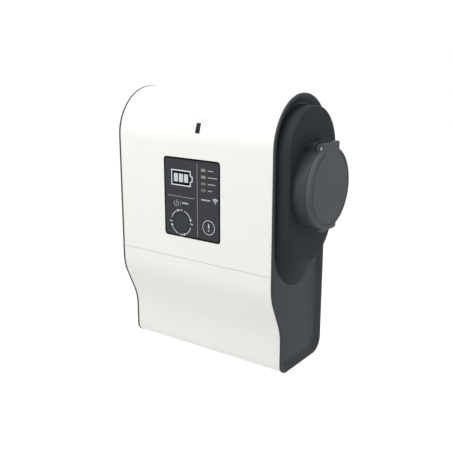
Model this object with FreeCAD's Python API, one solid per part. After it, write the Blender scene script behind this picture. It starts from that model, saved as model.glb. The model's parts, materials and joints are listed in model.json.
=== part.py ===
"""Wall charging unit: an arched white cover between two dark cheeks, with a lidded socket outlet.

Model frame, in millimetres: X runs across the unit (the socket is on the +X side), Y runs into the
wall (the wall plane is y = 0 and the front faces -Y), and Z is up. While the pieces are built, heights
are counted from the unit's bottom edge. On writing, every piece is lowered by ORIGIN_HEIGHT, so that
the origin of the files is the centre of the four wall fixings, on the wall plane.
"""

import FreeCAD, Part
import math
import os

from FreeCAD import Vector

# ---- overall size --------------------------------------------------------------------------------
HEIGHT = 340.0
UPPER_DEPTH = 122.4  # wall to the front face, above the S-bend
LOWER_DEPTH = 99.3  # wall to the front face, below the S-bend
HALF_WIDTH = 118.3  # centre plane to the rim plane of a cheek
ORIGIN_HEIGHT = 170.0  # height of the wall fixing pattern's centre

# ---- side outline --------------------------------------------------------------------------------
ARCH_RADIUS = UPPER_DEPTH / 2
ARCH_HEIGHT = HEIGHT - ARCH_RADIUS
BEND_TOP = 120.0  # the S-bend starts here, going down
BEND_BOTTOM = 42.0  # and ends here
BEND_ANGLE = math.radians(24.7)  # slope of its straight middle stretch, from the vertical
FRONT_CORNER = 13.0
REAR_CORNER = 19.0

# ---- shells --------------------------------------------------------------------------------------
COVER_INSET = 0.5  # the white covers lie this far inside the cheeks' outline
INNER_INSET = 3.3  # inside face of covers and back shell
COVER_END = 115.5  # half length of the covers
SEAM_HEIGHT = 133.0
SEAM_GAP = 0.4
COVER_FOOT_Y = -64.0  # the lower cover's underside ends here and the back shell's begins
BACK_TOP = 278.6
FLANGE_SCREWS_X = (-80.0, 0.0, 80.0)  # upper cover to partition shelf
FLANGE_SCREWS_Y = -110.0
FOOT_SCREWS_X = (-80.0, 80.0)  # lower cover to the back shell's tabs
FOOT_SCREWS_Y = -71.0

# ---- cheeks --------------------------------------------------------------------------------------
CHEEK_FACE = 115.6  # inner plane of the cheek's rim
RIM_WIDTH = 2.8
TRAY_DEPTH = 4.7
TRAY_SLOPE = 7.6  # run of the tray's sloping wall
CHEEK_WALL = 3.0
TRAY_FLOOR = HALF_WIDTH - TRAY_DEPTH
CHEEK_INSIDE = TRAY_FLOOR - CHEEK_WALL
FLANGE_END = 101.0
CHEEK_SCREW_X = 104.5
CHEEK_SCREW_HEIGHTS = (60.0, 150.0, 240.0)

# ---- wall fixings, partition and supply entry ----------------------------------------------------
FIXING_X = 88.0
FIXING_HEIGHTS = (70.0, 270.0)
FIXING_HOLE = 3.25
PARTITION_HEIGHT = 137.0
PARTITION_WALL = 3.0
GLAND_X, GLAND_Y = -45.0, -34.0
GLAND_THREAD = 16.0
GLAND_BORE = 7.0

# ---- control panel on the upper front face -------------------------------------------------------
PANEL_HALF = 43.0
PANEL_LOW, PANEL_HIGH = 161.0, 260.5
PANEL_CORNER = 4.0
PANEL_FRONT = -UPPER_DEPTH + COVER_INSET - 0.2
FASCIA_WALL = 3.1
FLANGE_WALL = 1.4
BUTTON_X, BUTTON_HEIGHT = -16.7, 179.4
BUTTON_RADIUS = 11.7
BUTTON_TRAVEL = 0.9
SWITCH_DEPTH = 2.6  # the tactile switch's case, from the display board forwards
LAMP_X = 18.4
LAMP_HEIGHTS = (224.2, 232.2, 240.3, 248.4)
CHARGE_BARS_X = (-24.0, -16.0, -8.0)
CHARGE_BAR_HEIGHT = 235.6
FAULT_X, FAULT_HEIGHT = 26.0, 179.3
DISPLAY_BOARD_Y = -110.4
DISPLAY_SCREW_X = 48.0
DISPLAY_SCREW_HEIGHTS = (155.5, 266.0)

# ---- status window on the arch -------------------------------------------------------------------
WINDOW_X = 8.7
WINDOW_WIDTH = 6.8
WINDOW_LENGTH = 12.8
WINDOW_CORNER = 1.3
WINDOW_TILT = 18.0  # degrees above the horizontal, seen from the arch's centre

# ---- socket outlet on the right cheek ------------------------------------------------------------
SOCKET_Y = -ARCH_RADIUS
SOCKET_HEIGHT = 233.6
PLINTH_TOP = 133.4
PLINTH_WALL = 3.0
PLINTH_UPPER_CENTRE = 272.5
PLINTH_BASE_HALF, PLINTH_TOP_HALF = 54.6, 53.9
PLINTH_BASE_LOWER, PLINTH_BASE_REACH = 181.0, 73.0  # centre and reach of the rounded lower end
PLINTH_TOP_LOWER, PLINTH_TOP_REACH = 206.3, 63.5
COLLAR_RADIUS = 47.8
COLLAR_BORE = 38.0
COLLAR_RIM = 150.0
CUP_RADIUS = 37.0
CUP_BORE = 34.8
CUP_BACK, CUP_FLOOR, CUP_RIM = 84.0, 95.0, 146.5
CUP_FLAT = 28.0  # the cup's flat top wall, above the socket axis
CARRIER_RADIUS = 26.5
CARRIER_FLAT = 20.0
CARRIER_FACE = 137.0
CONTACT_FACE = 135.0
POWER_CONTACTS = ((0.0, 0.0), (14.5, 0.0), (-14.5, 0.0), (8.0, -14.0), (-8.0, -14.0))
SIGNAL_CONTACTS = ((7.2, 12.4), (-7.2, 12.4))
POWER_BORE, POWER_OUTER = 3.05, 3.7
SIGNAL_BORE, SIGNAL_OUTER = 1.55, 2.1
SOCKET_SCREW_CIRCLE = 42.0

# ---- socket lid and hinge ------------------------------------------------------------------------
LID_RADIUS = 48.0
LID_BACK, LID_FACE = 150.4, 156.4
LID_EDGE = 2.4  # rounding of the lid's outer edge
LID_GROOVE = 43.3
LID_SEAL_INNER, LID_SEAL_OUTER = 38.6, 41.0
LID_SEAL_DEPTH = 2.0
PIN_X, PIN_HEIGHT = 151.1, 280.3
PIN_RADIUS = 1.9
PIN_CLEARANCE = 0.05
EAR_HALF = 17.6
EAR_RADIUS = 6.0
SEAT_RADIUS = 7.6  # concave seat of the bracket behind the ear
KNUCKLE_RADIUS = 3.6
KNUCKLE_GAP = 6.0  # half width of the space between the lid's two knuckles

# ---- boards and wiring ---------------------------------------------------------------------------
BOARD_BACK, BOARD_WALL = -15.3, 1.6
BOARD_FRONT = BOARD_BACK - BOARD_WALL
BOARD_HALF = 100.0
BOARD_LOW, BOARD_HIGH = 146.0, 258.0
STANDOFF_X = (-94.0, 0.0, 76.0)
STANDOFF_HEIGHTS = (152.0, 252.0)
TERMINAL_PITCH = 8.4
TERMINAL_HEIGHT = 94.0
TERMINAL_FIRST_X = 10.0
CONNECTOR_FRONT = -33.0
LOCK_X = 101.0
LOCK_TRAVEL = 7.0
LOCK_BOLT = 30.0

ACROSS = Vector(1, 0, 0)
UP = Vector(0, 0, 1)


# ---- plain shapes --------------------------------------------------------------------------------
def box(low, high):
    """A block between two opposite corners."""
    size = Vector(*high) - Vector(*low)
    return Part.makeBox(size.x, size.y, size.z, Vector(*low))


def block(centre, size):
    """A block around a centre point."""
    low = [c - s / 2 for c, s in zip(centre, size)]
    high = [c + s / 2 for c, s in zip(centre, size)]
    return box(low, high)


def rod(radius, start, end):
    """A cylinder from one point to another."""
    run = Vector(*end) - Vector(*start)
    return Part.makeCylinder(radius, run.Length, Vector(*start), run)


def tube(outer, bore, start, end):
    """A straight pipe from one point to another."""
    return rod(outer, start, end).cut(rod(bore, start, end))


def hexagon(across_flats, start, end):
    """A hexagonal prism from one point to another."""
    start, end = Vector(*start), Vector(*end)
    run = end - start
    side = run.cross(ACROSS if abs(run.x) < run.Length / 2 else UP).normalize()
    corner = side * (across_flats / math.sqrt(3))
    turn = [FreeCAD.Rotation(run, 60 * i) for i in range(7)]
    ring = Part.makePolygon([start + t.multVec(corner) for t in turn])
    return Part.Face(ring).extrude(run)


def rounded_plate(half_x, low, high, corner, y_front, y_back, centre_x=0.0):
    """A plate that faces -Y, with rounded corners."""
    plate = box((centre_x - half_x, y_front, low), (centre_x + half_x, y_back, high))
    upright = [e for e in plate.Edges if abs(e.tangentAt(e.FirstParameter).y) > 0.99]
    return plate.makeFillet(corner, upright)


def group(shapes):
    """Several separate solids that share one node."""
    return Part.makeCompound(list(shapes))


def screw(head_at, towards, length, shank=1.5, head=2.8, head_height=2.2, drive=2.5):
    """A machine screw: head_at is the seat under its head, and towards is the way it drives."""
    seat, way = Vector(*head_at), Vector(*towards).normalize()
    top = seat - way * head_height
    shaft = Part.makeCylinder(shank, length, seat, way)
    cap = Part.makeCylinder(head, head_height, top, way)
    recess = hexagon(drive, tuple(top), tuple(top + way * (head_height * 0.6)))
    return shaft.fuse(cap).removeSplitter().cut(recess)


def lead(points, radius, bend):
    """A wire along straight runs that are joined by arcs of one bend radius."""
    points = [Vector(*p) for p in points]
    edges, last = [], points[0]
    for before, corner, after in zip(points, points[1:], points[2:]):
        back = (before - corner).normalize()
        on = (after - corner).normalize()
        half_turn = (math.pi - back.getAngle(on)) / 2
        reach = bend * math.tan(half_turn)
        inward = (back + on).normalize()
        middle = corner + inward * (bend / math.cos(half_turn) - bend)
        start, end = corner + back * reach, corner + on * reach
        edges.append(Part.LineSegment(last, start).toShape())
        edges.append(Part.Arc(start, middle, end).toShape())
        last = end
    edges.append(Part.LineSegment(last, points[-1]).toShape())
    ring = Part.makeCircle(radius, points[0], points[1] - points[0])
    return Part.Wire(edges).makePipeShell([Part.Wire(ring)], True, False)


# ---- the side outline and what is cut from it ----------------------------------------------------
def outline(inset):
    """The unit's side outline, drawn in at an inset, as a closed wire in the plane x = 0."""
    rise, drop = 1 - math.cos(BEND_ANGLE), math.sin(BEND_ANGLE)
    step, fall = UPPER_DEPTH - LOWER_DEPTH, BEND_TOP - BEND_BOTTOM
    # two equal arcs and a straight stretch make up the step and the fall between them
    straight = (step * drop - fall * rise) / (drop * drop - math.cos(BEND_ANGLE) * rise)
    bend = (fall - straight * math.cos(BEND_ANGLE)) / (2 * drop)

    def turn(centre_y, centre_z, radius, first, last):
        at = [math.radians(a) for a in (first, (first + last) / 2, last)]
        return [Vector(0, centre_y + radius * math.cos(a), centre_z + radius * math.sin(a)) for a in at]

    slope = math.degrees(BEND_ANGLE)
    turns = [
        turn(-ARCH_RADIUS, ARCH_HEIGHT, ARCH_RADIUS - inset, 0, 180),
        turn(-UPPER_DEPTH + bend, BEND_TOP, bend - inset, 180, 180 + slope),
        turn(-LOWER_DEPTH - bend, BEND_BOTTOM, bend + inset, slope, 0),
        turn(-LOWER_DEPTH + FRONT_CORNER, FRONT_CORNER, FRONT_CORNER - inset, 180, 270),
        turn(-REAR_CORNER, REAR_CORNER, REAR_CORNER - inset, 270, 360),
    ]
    edges = []
    for here, following in zip(turns, turns[1:] + turns[:1]):
        edges.append(Part.Arc(*here).toShape())
        edges.append(Part.LineSegment(here[-1], following[0]).toShape())
    return Part.Wire(edges)


def outline_slab(inset, x_low, x_high):
    """The side outline, filled, between two planes across the unit."""
    face = Part.Face(outline(inset))
    face.translate(ACROSS * x_low)
    return face.extrude(ACROSS * (x_high - x_low))


def outline_ring(outer_inset, inner_inset, x_low, x_high):
    """A band that follows the side outline."""
    return outline_slab(outer_inset, x_low, x_high).cut(outline_slab(inner_inset, x_low, x_high))


def edges_in_plane(shape, x):
    """The edges of a shape that lie in one plane across the unit."""
    return [e for e in shape.Edges if abs(e.BoundBox.XMin - x) < 1e-6 and abs(e.BoundBox.XMax - x) < 1e-6]


# ---- enclosure -----------------------------------------------------------------------------------
def tray():
    """What is hollowed out of a cheek's outer face: a shallow pan with sloping walls."""
    low, high = outline(RIM_WIDTH + TRAY_SLOPE), outline(RIM_WIDTH)
    low.translate(ACROSS * TRAY_FLOOR)
    high.translate(ACROSS * HALF_WIDTH)
    return Part.makeLoft([low, high], True, True)


def cheek():
    """A side cheek for the +X side: a dished face, a rim, and a flange that plugs into the covers."""
    rim = outline_slab(0, CHEEK_FACE, HALF_WIDTH)
    rim = rim.makeFillet(1.1, edges_in_plane(rim, HALF_WIDTH))
    plate = outline_slab(INNER_INSET + 0.2, CHEEK_INSIDE, CHEEK_FACE)
    flange = outline_ring(INNER_INSET + 1.0, INNER_INSET + 3.0, FLANGE_END, CHEEK_INSIDE)
    bosses = [
        box((FLANGE_END, -17, z - 6), (CHEEK_INSIDE, -INNER_INSET - 1.5, z + 6)) for z in CHEEK_SCREW_HEIGHTS
    ]
    pilots = [rod(1.45, (CHEEK_SCREW_X, 0, z), (CHEEK_SCREW_X, -16, z)) for z in CHEEK_SCREW_HEIGHTS]
    return rim.fuse([plate, flange] + bosses).removeSplitter().cut([tray()] + pilots)


def left_cheek():
    return cheek().mirror(Vector(0, 0, 0), ACROSS)


def right_cheek():
    """The cheek that carries the socket: the plinth stands in its tray, and the cup passes through it."""
    passage = along_socket(COLLAR_BORE + 3, CHEEK_INSIDE - 1, TRAY_FLOOR)
    screw_holes = [rod(1.7, (CHEEK_INSIDE - 1, y, z), (TRAY_FLOOR, y, z)) for y, z in plinth_screw_places()]
    return cheek().cut([plinth_body(0, TRAY_FLOOR, PLINTH_TOP), passage] + screw_holes)


def cheek_seals():
    """The foam seals between the cheeks' flanges and the shells around them, one at each side."""
    ring = outline_ring(INNER_INSET, INNER_INSET + 1.0, CHEEK_INSIDE - 2.6, CHEEK_INSIDE - 0.2)
    return group([ring.mirror(Vector(0, 0, 0), ACROSS), ring])


def back_shell():
    """The rear half of the enclosure: it stands on the wall and carries everything else."""
    shell = outline_ring(0, INNER_INSET, -COVER_END, COVER_END)
    shell = shell.common(box((-COVER_END, COVER_FOOT_Y + 0.3, -1), (COVER_END, 1, BACK_TOP)))
    inside = -INNER_INSET + 0.1
    fixings = [(x, z) for x in (-FIXING_X, FIXING_X) for z in FIXING_HEIGHTS]
    bosses = [rod(8, (x, inside, z), (x, -10, z)) for x, z in fixings]
    ribs = [box((x - 1, -7.5, 24), (x + 1, inside, 262)) for x in (-62.0, -22.0, 46.0)]
    tabs = [box((x - 8, -78, INNER_INSET + 0.3), (x + 8, -50, 9)) for x in FOOT_SCREWS_X]
    tab_feet = [box((x - 8, -63.7, INNER_INSET - 0.2), (x + 8, -50, 4)) for x in FOOT_SCREWS_X]
    low, high = TERMINAL_HEIGHT - 14, TERMINAL_HEIGHT + 14
    rail_feet = [box((x - 6, -12, low), (x + 6, inside, high)) for x in (-42.0, 60.0)]
    shell = shell.fuse(bosses + ribs + tabs + tab_feet + rail_feet).removeSplitter()
    cheek_screws = [(s * CHEEK_SCREW_X, z) for s in (-1, 1) for z in CHEEK_SCREW_HEIGHTS]
    cuts = [rod(FIXING_HOLE, (x, 1, z), (x, -11, z)) for x, z in fixings]
    cuts += [rod(3.1, (x, 1, z), (x, -1.8, z)) for x, z in cheek_screws]
    cuts += [rod(1.6, (x, 1, z), (x, -5, z)) for x, z in cheek_screws]
    cuts += [rod(1.25, (x, FOOT_SCREWS_Y, 0), (x, FOOT_SCREWS_Y, 10)) for x in FOOT_SCREWS_X]
    cuts += [rod(GLAND_THREAD + 0.2, (GLAND_X, GLAND_Y, -1), (GLAND_X, GLAND_Y, INNER_INSET + 1))]
    return shell.cut(cuts)


def window_prism(margin):
    """A rounded bar through the arch, where the status window sits."""
    half_x, half_z = WINDOW_WIDTH / 2 + margin, WINDOW_LENGTH / 2 + margin
    corner = WINDOW_CORNER + margin
    bar = rounded_plate(half_x, -half_z, half_z, corner, -ARCH_RADIUS - 5, -ARCH_RADIUS + 12, WINDOW_X)
    return tilt_to_window(bar)


def tilt_to_window(shape):
    """Takes a shape built around the arch's axis, facing -Y, to where it faces the status window."""
    shape.rotate(Vector(0, 0, 0), ACROSS, -WINDOW_TILT)
    shape.translate(Vector(0, -ARCH_RADIUS, ARCH_HEIGHT))
    return shape


def upper_cover():
    """The arched white shell, from the wall over the top and down to the seam."""
    shell = outline_ring(COVER_INSET, INNER_INSET, -COVER_END, COVER_END)
    below_seam = box((-200, -200, -1), (200, 1, SEAM_HEIGHT + SEAM_GAP / 2))
    behind = box((-200, -ARCH_RADIUS, -1), (200, 1, BACK_TOP + 0.4))
    shell = shell.cut([below_seam, behind])
    inner_face = -UPPER_DEPTH + INNER_INSET
    flange = box((-98, inner_face - 0.5, SEAM_HEIGHT + 1.2), (98, -104, PARTITION_HEIGHT))
    bosses = [
        rod(2.8, (s * DISPLAY_SCREW_X, inner_face - 0.5, z), (s * DISPLAY_SCREW_X, DISPLAY_BOARD_Y, z))
        for s in (-1, 1)
        for z in DISPLAY_SCREW_HEIGHTS
    ]
    posts = [
        tilt_to_window(rod(2.4, (WINDOW_X + dx, -ARCH_RADIUS + 2.9, 0), (WINDOW_X + dx, -50.0, 0)))
        for dx in (-19, 19)
    ]
    shell = shell.fuse([flange] + bosses + posts).removeSplitter()
    gap = 0.25
    low, high = PANEL_LOW - gap, PANEL_HIGH + gap
    opening = rounded_plate(
        PANEL_HALF + gap, low, high, PANEL_CORNER + gap, -UPPER_DEPTH - 1, inner_face + 0.1
    )
    pilots = [
        rod(1.25, (s * DISPLAY_SCREW_X, DISPLAY_BOARD_Y, z), (s * DISPLAY_SCREW_X, -118, z))
        for s in (-1, 1)
        for z in DISPLAY_SCREW_HEIGHTS
    ]
    passages = [
        rod(1.7, (x, FLANGE_SCREWS_Y, SEAM_HEIGHT), (x, FLANGE_SCREWS_Y, PARTITION_HEIGHT))
        for x in FLANGE_SCREWS_X
    ]
    return shell.cut([opening, window_prism(0)] + pilots + passages)


def lower_cover():
    """The white shell below the seam: it hides the supply terminals and wraps under the unit."""
    region = box((-COVER_END, -200, -1), (COVER_END, COVER_FOOT_Y, SEAM_HEIGHT - SEAM_GAP / 2))
    shell = outline_ring(COVER_INSET, INNER_INSET, -COVER_END, COVER_END).common(region)
    lip = outline_ring(INNER_INSET - 0.1, INNER_INSET + 1.5, -98, 98)
    lip = lip.common(box((-98, -200, SEAM_HEIGHT - 10), (98, COVER_FOOT_Y, SEAM_HEIGHT + 1)))
    lip = lip.cut(outline_ring(COVER_INSET, INNER_INSET + 0.1, -98, 98).common(
        box((-98, -200, SEAM_HEIGHT - SEAM_GAP), (98, 0, SEAM_HEIGHT + 2))
    ))
    y = FOOT_SCREWS_Y
    holes = [rod(1.7, (x, y, -1), (x, y, 5)) for x in FOOT_SCREWS_X]
    counterbores = [rod(3.1, (x, y, -1), (x, y, 1.9)) for x in FOOT_SCREWS_X]
    return shell.fuse(lip).removeSplitter().cut(holes + counterbores)


def partition_shelf():
    """The shelf that parts the supply compartment from the electronics, with a slot for the leads."""
    top = PARTITION_HEIGHT + PARTITION_WALL
    shelf = box((-99, -112, PARTITION_HEIGHT), (99, -INNER_INSET - 4.3, top))
    last_x = TERMINAL_FIRST_X + 4 * TERMINAL_PITCH
    slot = box((TERMINAL_FIRST_X - 6, -33, PARTITION_HEIGHT - 1), (last_x + 6, -21, top + 1))
    y = FLANGE_SCREWS_Y
    pilots = [rod(1.55, (x, y, PARTITION_HEIGHT), (x, y, top)) for x in FLANGE_SCREWS_X]
    return shelf.cut([slot] + pilots)


def cheek_screws():
    return group(
        screw((s * CHEEK_SCREW_X, -1.8, z), (0, -1, 0), 13, shank=1.4, head=2.9, head_height=1.6, drive=2)
        for s in (-1, 1)
        for z in CHEEK_SCREW_HEIGHTS
    )


def upper_cover_screws():
    return group(
        screw((x, FLANGE_SCREWS_Y, SEAM_HEIGHT + 1.2), (0, 0, 1), 6.6, head_height=1.0)
        for x in FLANGE_SCREWS_X
    )


def lower_cover_screws():
    return group(
        screw((x, FOOT_SCREWS_Y, 1.9), (0, 0, 1), 6.8, shank=1.2, head=2.9, head_height=1.7, drive=2.2)
        for x in FOOT_SCREWS_X
    )


# ---- control panel -------------------------------------------------------------------------------
def lamp_blocks(y_front, y_back):
    return [block((LAMP_X, (y_front + y_back) / 2, z), (6.8, y_back - y_front, 3.6)) for z in LAMP_HEIGHTS]


def charge_blocks(y_front, y_back):
    middle = (y_front + y_back) / 2
    return [block((x, middle, CHARGE_BAR_HEIGHT), (6.2, y_back - y_front, 10.4)) for x in CHARGE_BARS_X]


def fault_marks(y_front, y_back):
    """The bar and the dot of an exclamation mark."""
    bar = block((FAULT_X, (y_front + y_back) / 2, FAULT_HEIGHT + 1.6), (1.8, y_back - y_front, 5.4))
    dot = rod(1.0, (FAULT_X, y_front, FAULT_HEIGHT - 3.9), (FAULT_X, y_back, FAULT_HEIGHT - 3.9))
    return [bar, dot]


def control_fascia():
    """The dark front plate of the control panel, with a flange behind the cover's opening."""
    step = PANEL_FRONT + FASCIA_WALL
    rear = step + FLANGE_WALL
    plate = rounded_plate(PANEL_HALF, PANEL_LOW, PANEL_HIGH, PANEL_CORNER, PANEL_FRONT, step + 0.1)
    flange = rounded_plate(PANEL_HALF + 1.5, PANEL_LOW - 1.5, PANEL_HIGH + 1.5, 4.5, step + 0.8, rear + 0.8)
    web = rounded_plate(PANEL_HALF, PANEL_LOW, PANEL_HIGH, PANEL_CORNER, step, step + 0.9)
    x, z = BUTTON_X, BUTTON_HEIGHT
    button_hole = rod(BUTTON_RADIUS + 0.3, (x, PANEL_FRONT - 1, z), (x, rear + 1, z))
    flange_hole = rod(BUTTON_RADIUS + 1.9, (x, step, z), (x, rear + 1, z))
    cuts = [button_hole, flange_hole]
    cuts += lamp_blocks(PANEL_FRONT - 1, rear + 1)
    cuts += charge_blocks(PANEL_FRONT - 1, rear + 1)
    cuts += fault_marks(PANEL_FRONT - 1, rear + 1)
    return plate.fuse([web, flange]).removeSplitter().cut(cuts)


def fascia_seal():
    """The foam frame between the fascia's flange and the cover."""
    back = PANEL_FRONT + FASCIA_WALL + 0.8
    front = -UPPER_DEPTH + INNER_INSET
    outer = rounded_plate(PANEL_HALF + 1.5, PANEL_LOW - 1.5, PANEL_HIGH + 1.5, 4.5, front, back)
    inner = rounded_plate(PANEL_HALF + 0.2, PANEL_LOW - 0.2, PANEL_HIGH + 0.2, 4.2, front, back)
    return outer.cut(inner)


def lens_depth():
    """Front and rear planes of the light lenses."""
    return PANEL_FRONT - 0.05, PANEL_FRONT + FASCIA_WALL + FLANGE_WALL


def charge_bar_lenses():
    return group(charge_blocks(*lens_depth()))


def status_lamp_lenses():
    return group(lamp_blocks(*lens_depth()))


def fault_lamp_lens():
    return group(fault_marks(*lens_depth()))


def plunger_tip():
    """Where the switch's plunger meets the button's stem at rest, with the travel and a little over."""
    return DISPLAY_BOARD_Y - SWITCH_DEPTH - BUTTON_TRAVEL - 0.1


def timer_button():
    """The flush round push button: a dished cap, a retaining flange and a stem."""
    x, z = BUTTON_X, BUTTON_HEIGHT
    step = PANEL_FRONT + FASCIA_WALL
    cap = rod(BUTTON_RADIUS, (x, PANEL_FRONT - 0.1, z), (x, step + 0.4, z))
    cap = cap.makeFillet(0.5, [e for e in cap.Edges if abs(e.BoundBox.YMax - PANEL_FRONT + 0.1) < 1e-6])
    flange = rod(BUTTON_RADIUS + 1.3, (x, step + 0.3, z), (x, step + 1.3, z))
    stem = rod(3.0, (x, step + 1.2, z), (x, plunger_tip(), z))
    dish_radius = 180.0
    dish = Part.makeSphere(dish_radius, Vector(x, PANEL_FRONT - 0.1 - dish_radius + 0.25, z))
    return cap.fuse([flange, stem]).removeSplitter().cut(dish)


def tactile_switch():
    x, z = BUTTON_X, BUTTON_HEIGHT
    front = DISPLAY_BOARD_Y - SWITCH_DEPTH
    case = box((x - 6, front, z - 6), (x + 6, DISPLAY_BOARD_Y, z + 6))
    bore = rod(1.75, (x, front, z), (x, front + 2.0, z))
    return case.cut(bore)


def switch_plunger():
    """The switch's plunger, which the button's stem pushes."""
    x, z = BUTTON_X, BUTTON_HEIGHT
    return rod(1.7, (x, plunger_tip(), z), (x, DISPLAY_BOARD_Y - SWITCH_DEPTH + 0.8, z))


def display_board():
    x, low, high = DISPLAY_SCREW_X, DISPLAY_SCREW_HEIGHTS[0], DISPLAY_SCREW_HEIGHTS[1]
    board = rounded_plate(x + 4, low - 4, high + 4, 3, DISPLAY_BOARD_Y, DISPLAY_BOARD_Y + 1.6)
    places = [(s * x, z) for s in (-1, 1) for z in (low, high)]
    return board.cut([rod(1.4, (px, -112, pz), (px, -108, pz)) for px, pz in places])


def display_leds():
    """One surface-mounted LED behind each lens."""
    places = [(LAMP_X, z) for z in LAMP_HEIGHTS]
    places += [(x, CHARGE_BAR_HEIGHT) for x in CHARGE_BARS_X]
    places += [(FAULT_X, FAULT_HEIGHT)]
    return group(block((x, DISPLAY_BOARD_Y - 0.6, z), (2.8, 1.2, 2.0)) for x, z in places)


def display_board_screws():
    places = [(s * DISPLAY_SCREW_X, z) for s in (-1, 1) for z in DISPLAY_SCREW_HEIGHTS]
    return group(
        screw((x, DISPLAY_BOARD_Y + 1.6, z), (0, -1, 0), 7.5, shank=1.2, head=2.4, head_height=1.5, drive=2)
        for x, z in places
    )


def status_window():
    """The dark lens on the arch, flush with the cover."""
    return window_prism(0).common(outline_ring(COVER_INSET, INNER_INSET, -30, 30))


def reader_board():
    """The small board behind the status window: status light and contactless card reader."""
    board = box((WINDOW_X - 23, -50, -14), (WINDOW_X + 23, -48.4, 14))
    return tilt_to_window(board)


def reader_coil():
    """The reader's aerial: a flat rectangular winding."""
    outer = rounded_plate(15, -12, 12, 3, -50.5, -50, WINDOW_X)
    inner = rounded_plate(11.5, -8.5, 8.5, 1.5, -51, -49, WINDOW_X)
    return tilt_to_window(outer.cut(inner))


def status_led():
    return tilt_to_window(block((WINDOW_X, -50.8, 0), (3.4, 1.6, 3.4)))


# ---- socket outlet -------------------------------------------------------------------------------
def plinth_outline(half_width, lower_centre, lower_reach, x):
    """The plinth's outline: round at the top, straight sides, and a half ellipse at the lower end."""
    left, right = SOCKET_Y - half_width, SOCKET_Y + half_width
    top = PLINTH_UPPER_CENTRE
    peak = Vector(x, SOCKET_Y, top + half_width)
    crown = Part.Arc(Vector(x, right, top), peak, Vector(x, left, top)).toShape()
    bottom = Vector(x, SOCKET_Y, lower_centre - lower_reach)
    ellipse = Part.Ellipse(bottom, Vector(x, right, lower_centre), Vector(x, SOCKET_Y, lower_centre))
    foot = Part.Arc(ellipse, -math.pi / 2, math.pi / 2).toShape()
    sides = [
        Part.LineSegment(Vector(x, left, top), Vector(x, left, lower_centre)).toShape(),
        Part.LineSegment(Vector(x, right, lower_centre), Vector(x, right, top)).toShape(),
    ]
    return Part.Wire(Part.sortEdges([crown, sides[0], foot, sides[1]])[0])


def plinth_body(inset, x_low, x_high):
    """The plinth, filled: it narrows a little towards its top and ramps out at its lower end."""
    base = plinth_outline(PLINTH_BASE_HALF - inset, PLINTH_BASE_LOWER, PLINTH_BASE_REACH - inset, x_low)
    top = plinth_outline(PLINTH_TOP_HALF - inset, PLINTH_TOP_LOWER, PLINTH_TOP_REACH - inset, x_high)
    return Part.makeLoft([base, top], True, True)


def plinth_screw_places():
    """(y, z) of the screws that hold the plinth to the cheek from inside."""
    return [(SOCKET_Y + dy, z) for dy, z in ((-38, 302), (38, 302), (-30, 158), (30, 158))]


def socket_plinth():
    """The hollow moulding on the right cheek that the socket stands on."""
    body = plinth_body(0, TRAY_FLOOR, PLINTH_TOP)
    body = body.makeFillet(1.6, edges_in_plane(body, PLINTH_TOP))
    hollow = plinth_body(PLINTH_WALL, TRAY_FLOOR, PLINTH_TOP - PLINTH_WALL)
    ceiling = PLINTH_TOP - PLINTH_WALL + 0.1
    bosses = [rod(3.6, (TRAY_FLOOR, y, z), (ceiling, y, z)) for y, z in plinth_screw_places()]
    bosses = [boss.common(plinth_body(0.5, TRAY_FLOOR, PLINTH_TOP - 1)) for boss in bosses]
    pilots = [rod(1.3, (TRAY_FLOOR, y, z), (TRAY_FLOOR + 10, y, z)) for y, z in plinth_screw_places()]
    bore = along_socket(COLLAR_BORE, PLINTH_TOP - 5, PLINTH_TOP + 1)
    holes = [rod(1.7, (PLINTH_TOP - 5, y, z), (PLINTH_TOP + 1, y, z)) for y, z in socket_screw_places()]
    return body.cut(hollow).fuse(bosses).removeSplitter().cut([bore] + holes + pilots)


def plinth_screws():
    return group(
        screw((CHEEK_INSIDE, y, z), (1, 0, 0), 11, shank=1.25, head=2.6, head_height=1.8, drive=2)
        for y, z in plinth_screw_places()
    )


def along_socket(radius, x_low, x_high, dy=0.0, dz=0.0):
    """A cylinder along the socket's axis, or beside it."""
    y, z = SOCKET_Y + dy, SOCKET_HEIGHT + dz
    return rod(radius, (x_low, y, z), (x_high, y, z))


def across_hinge(radius, dy_low, dy_high):
    """A cylinder along the hinge axis. Distances are counted from the socket's centre plane."""
    low, high = SOCKET_Y + dy_low, SOCKET_Y + dy_high
    return rod(radius, (PIN_X, low, PIN_HEIGHT), (PIN_X, high, PIN_HEIGHT))


def socket_screw_places():
    """(y, z) of the four screws that clamp collar, plinth and cup together."""
    angles = [math.radians(a) for a in (35, 145, 215, 325)]
    return [
        (SOCKET_Y + SOCKET_SCREW_CIRCLE * math.cos(a), SOCKET_HEIGHT + SOCKET_SCREW_CIRCLE * math.sin(a))
        for a in angles
    ]


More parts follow.
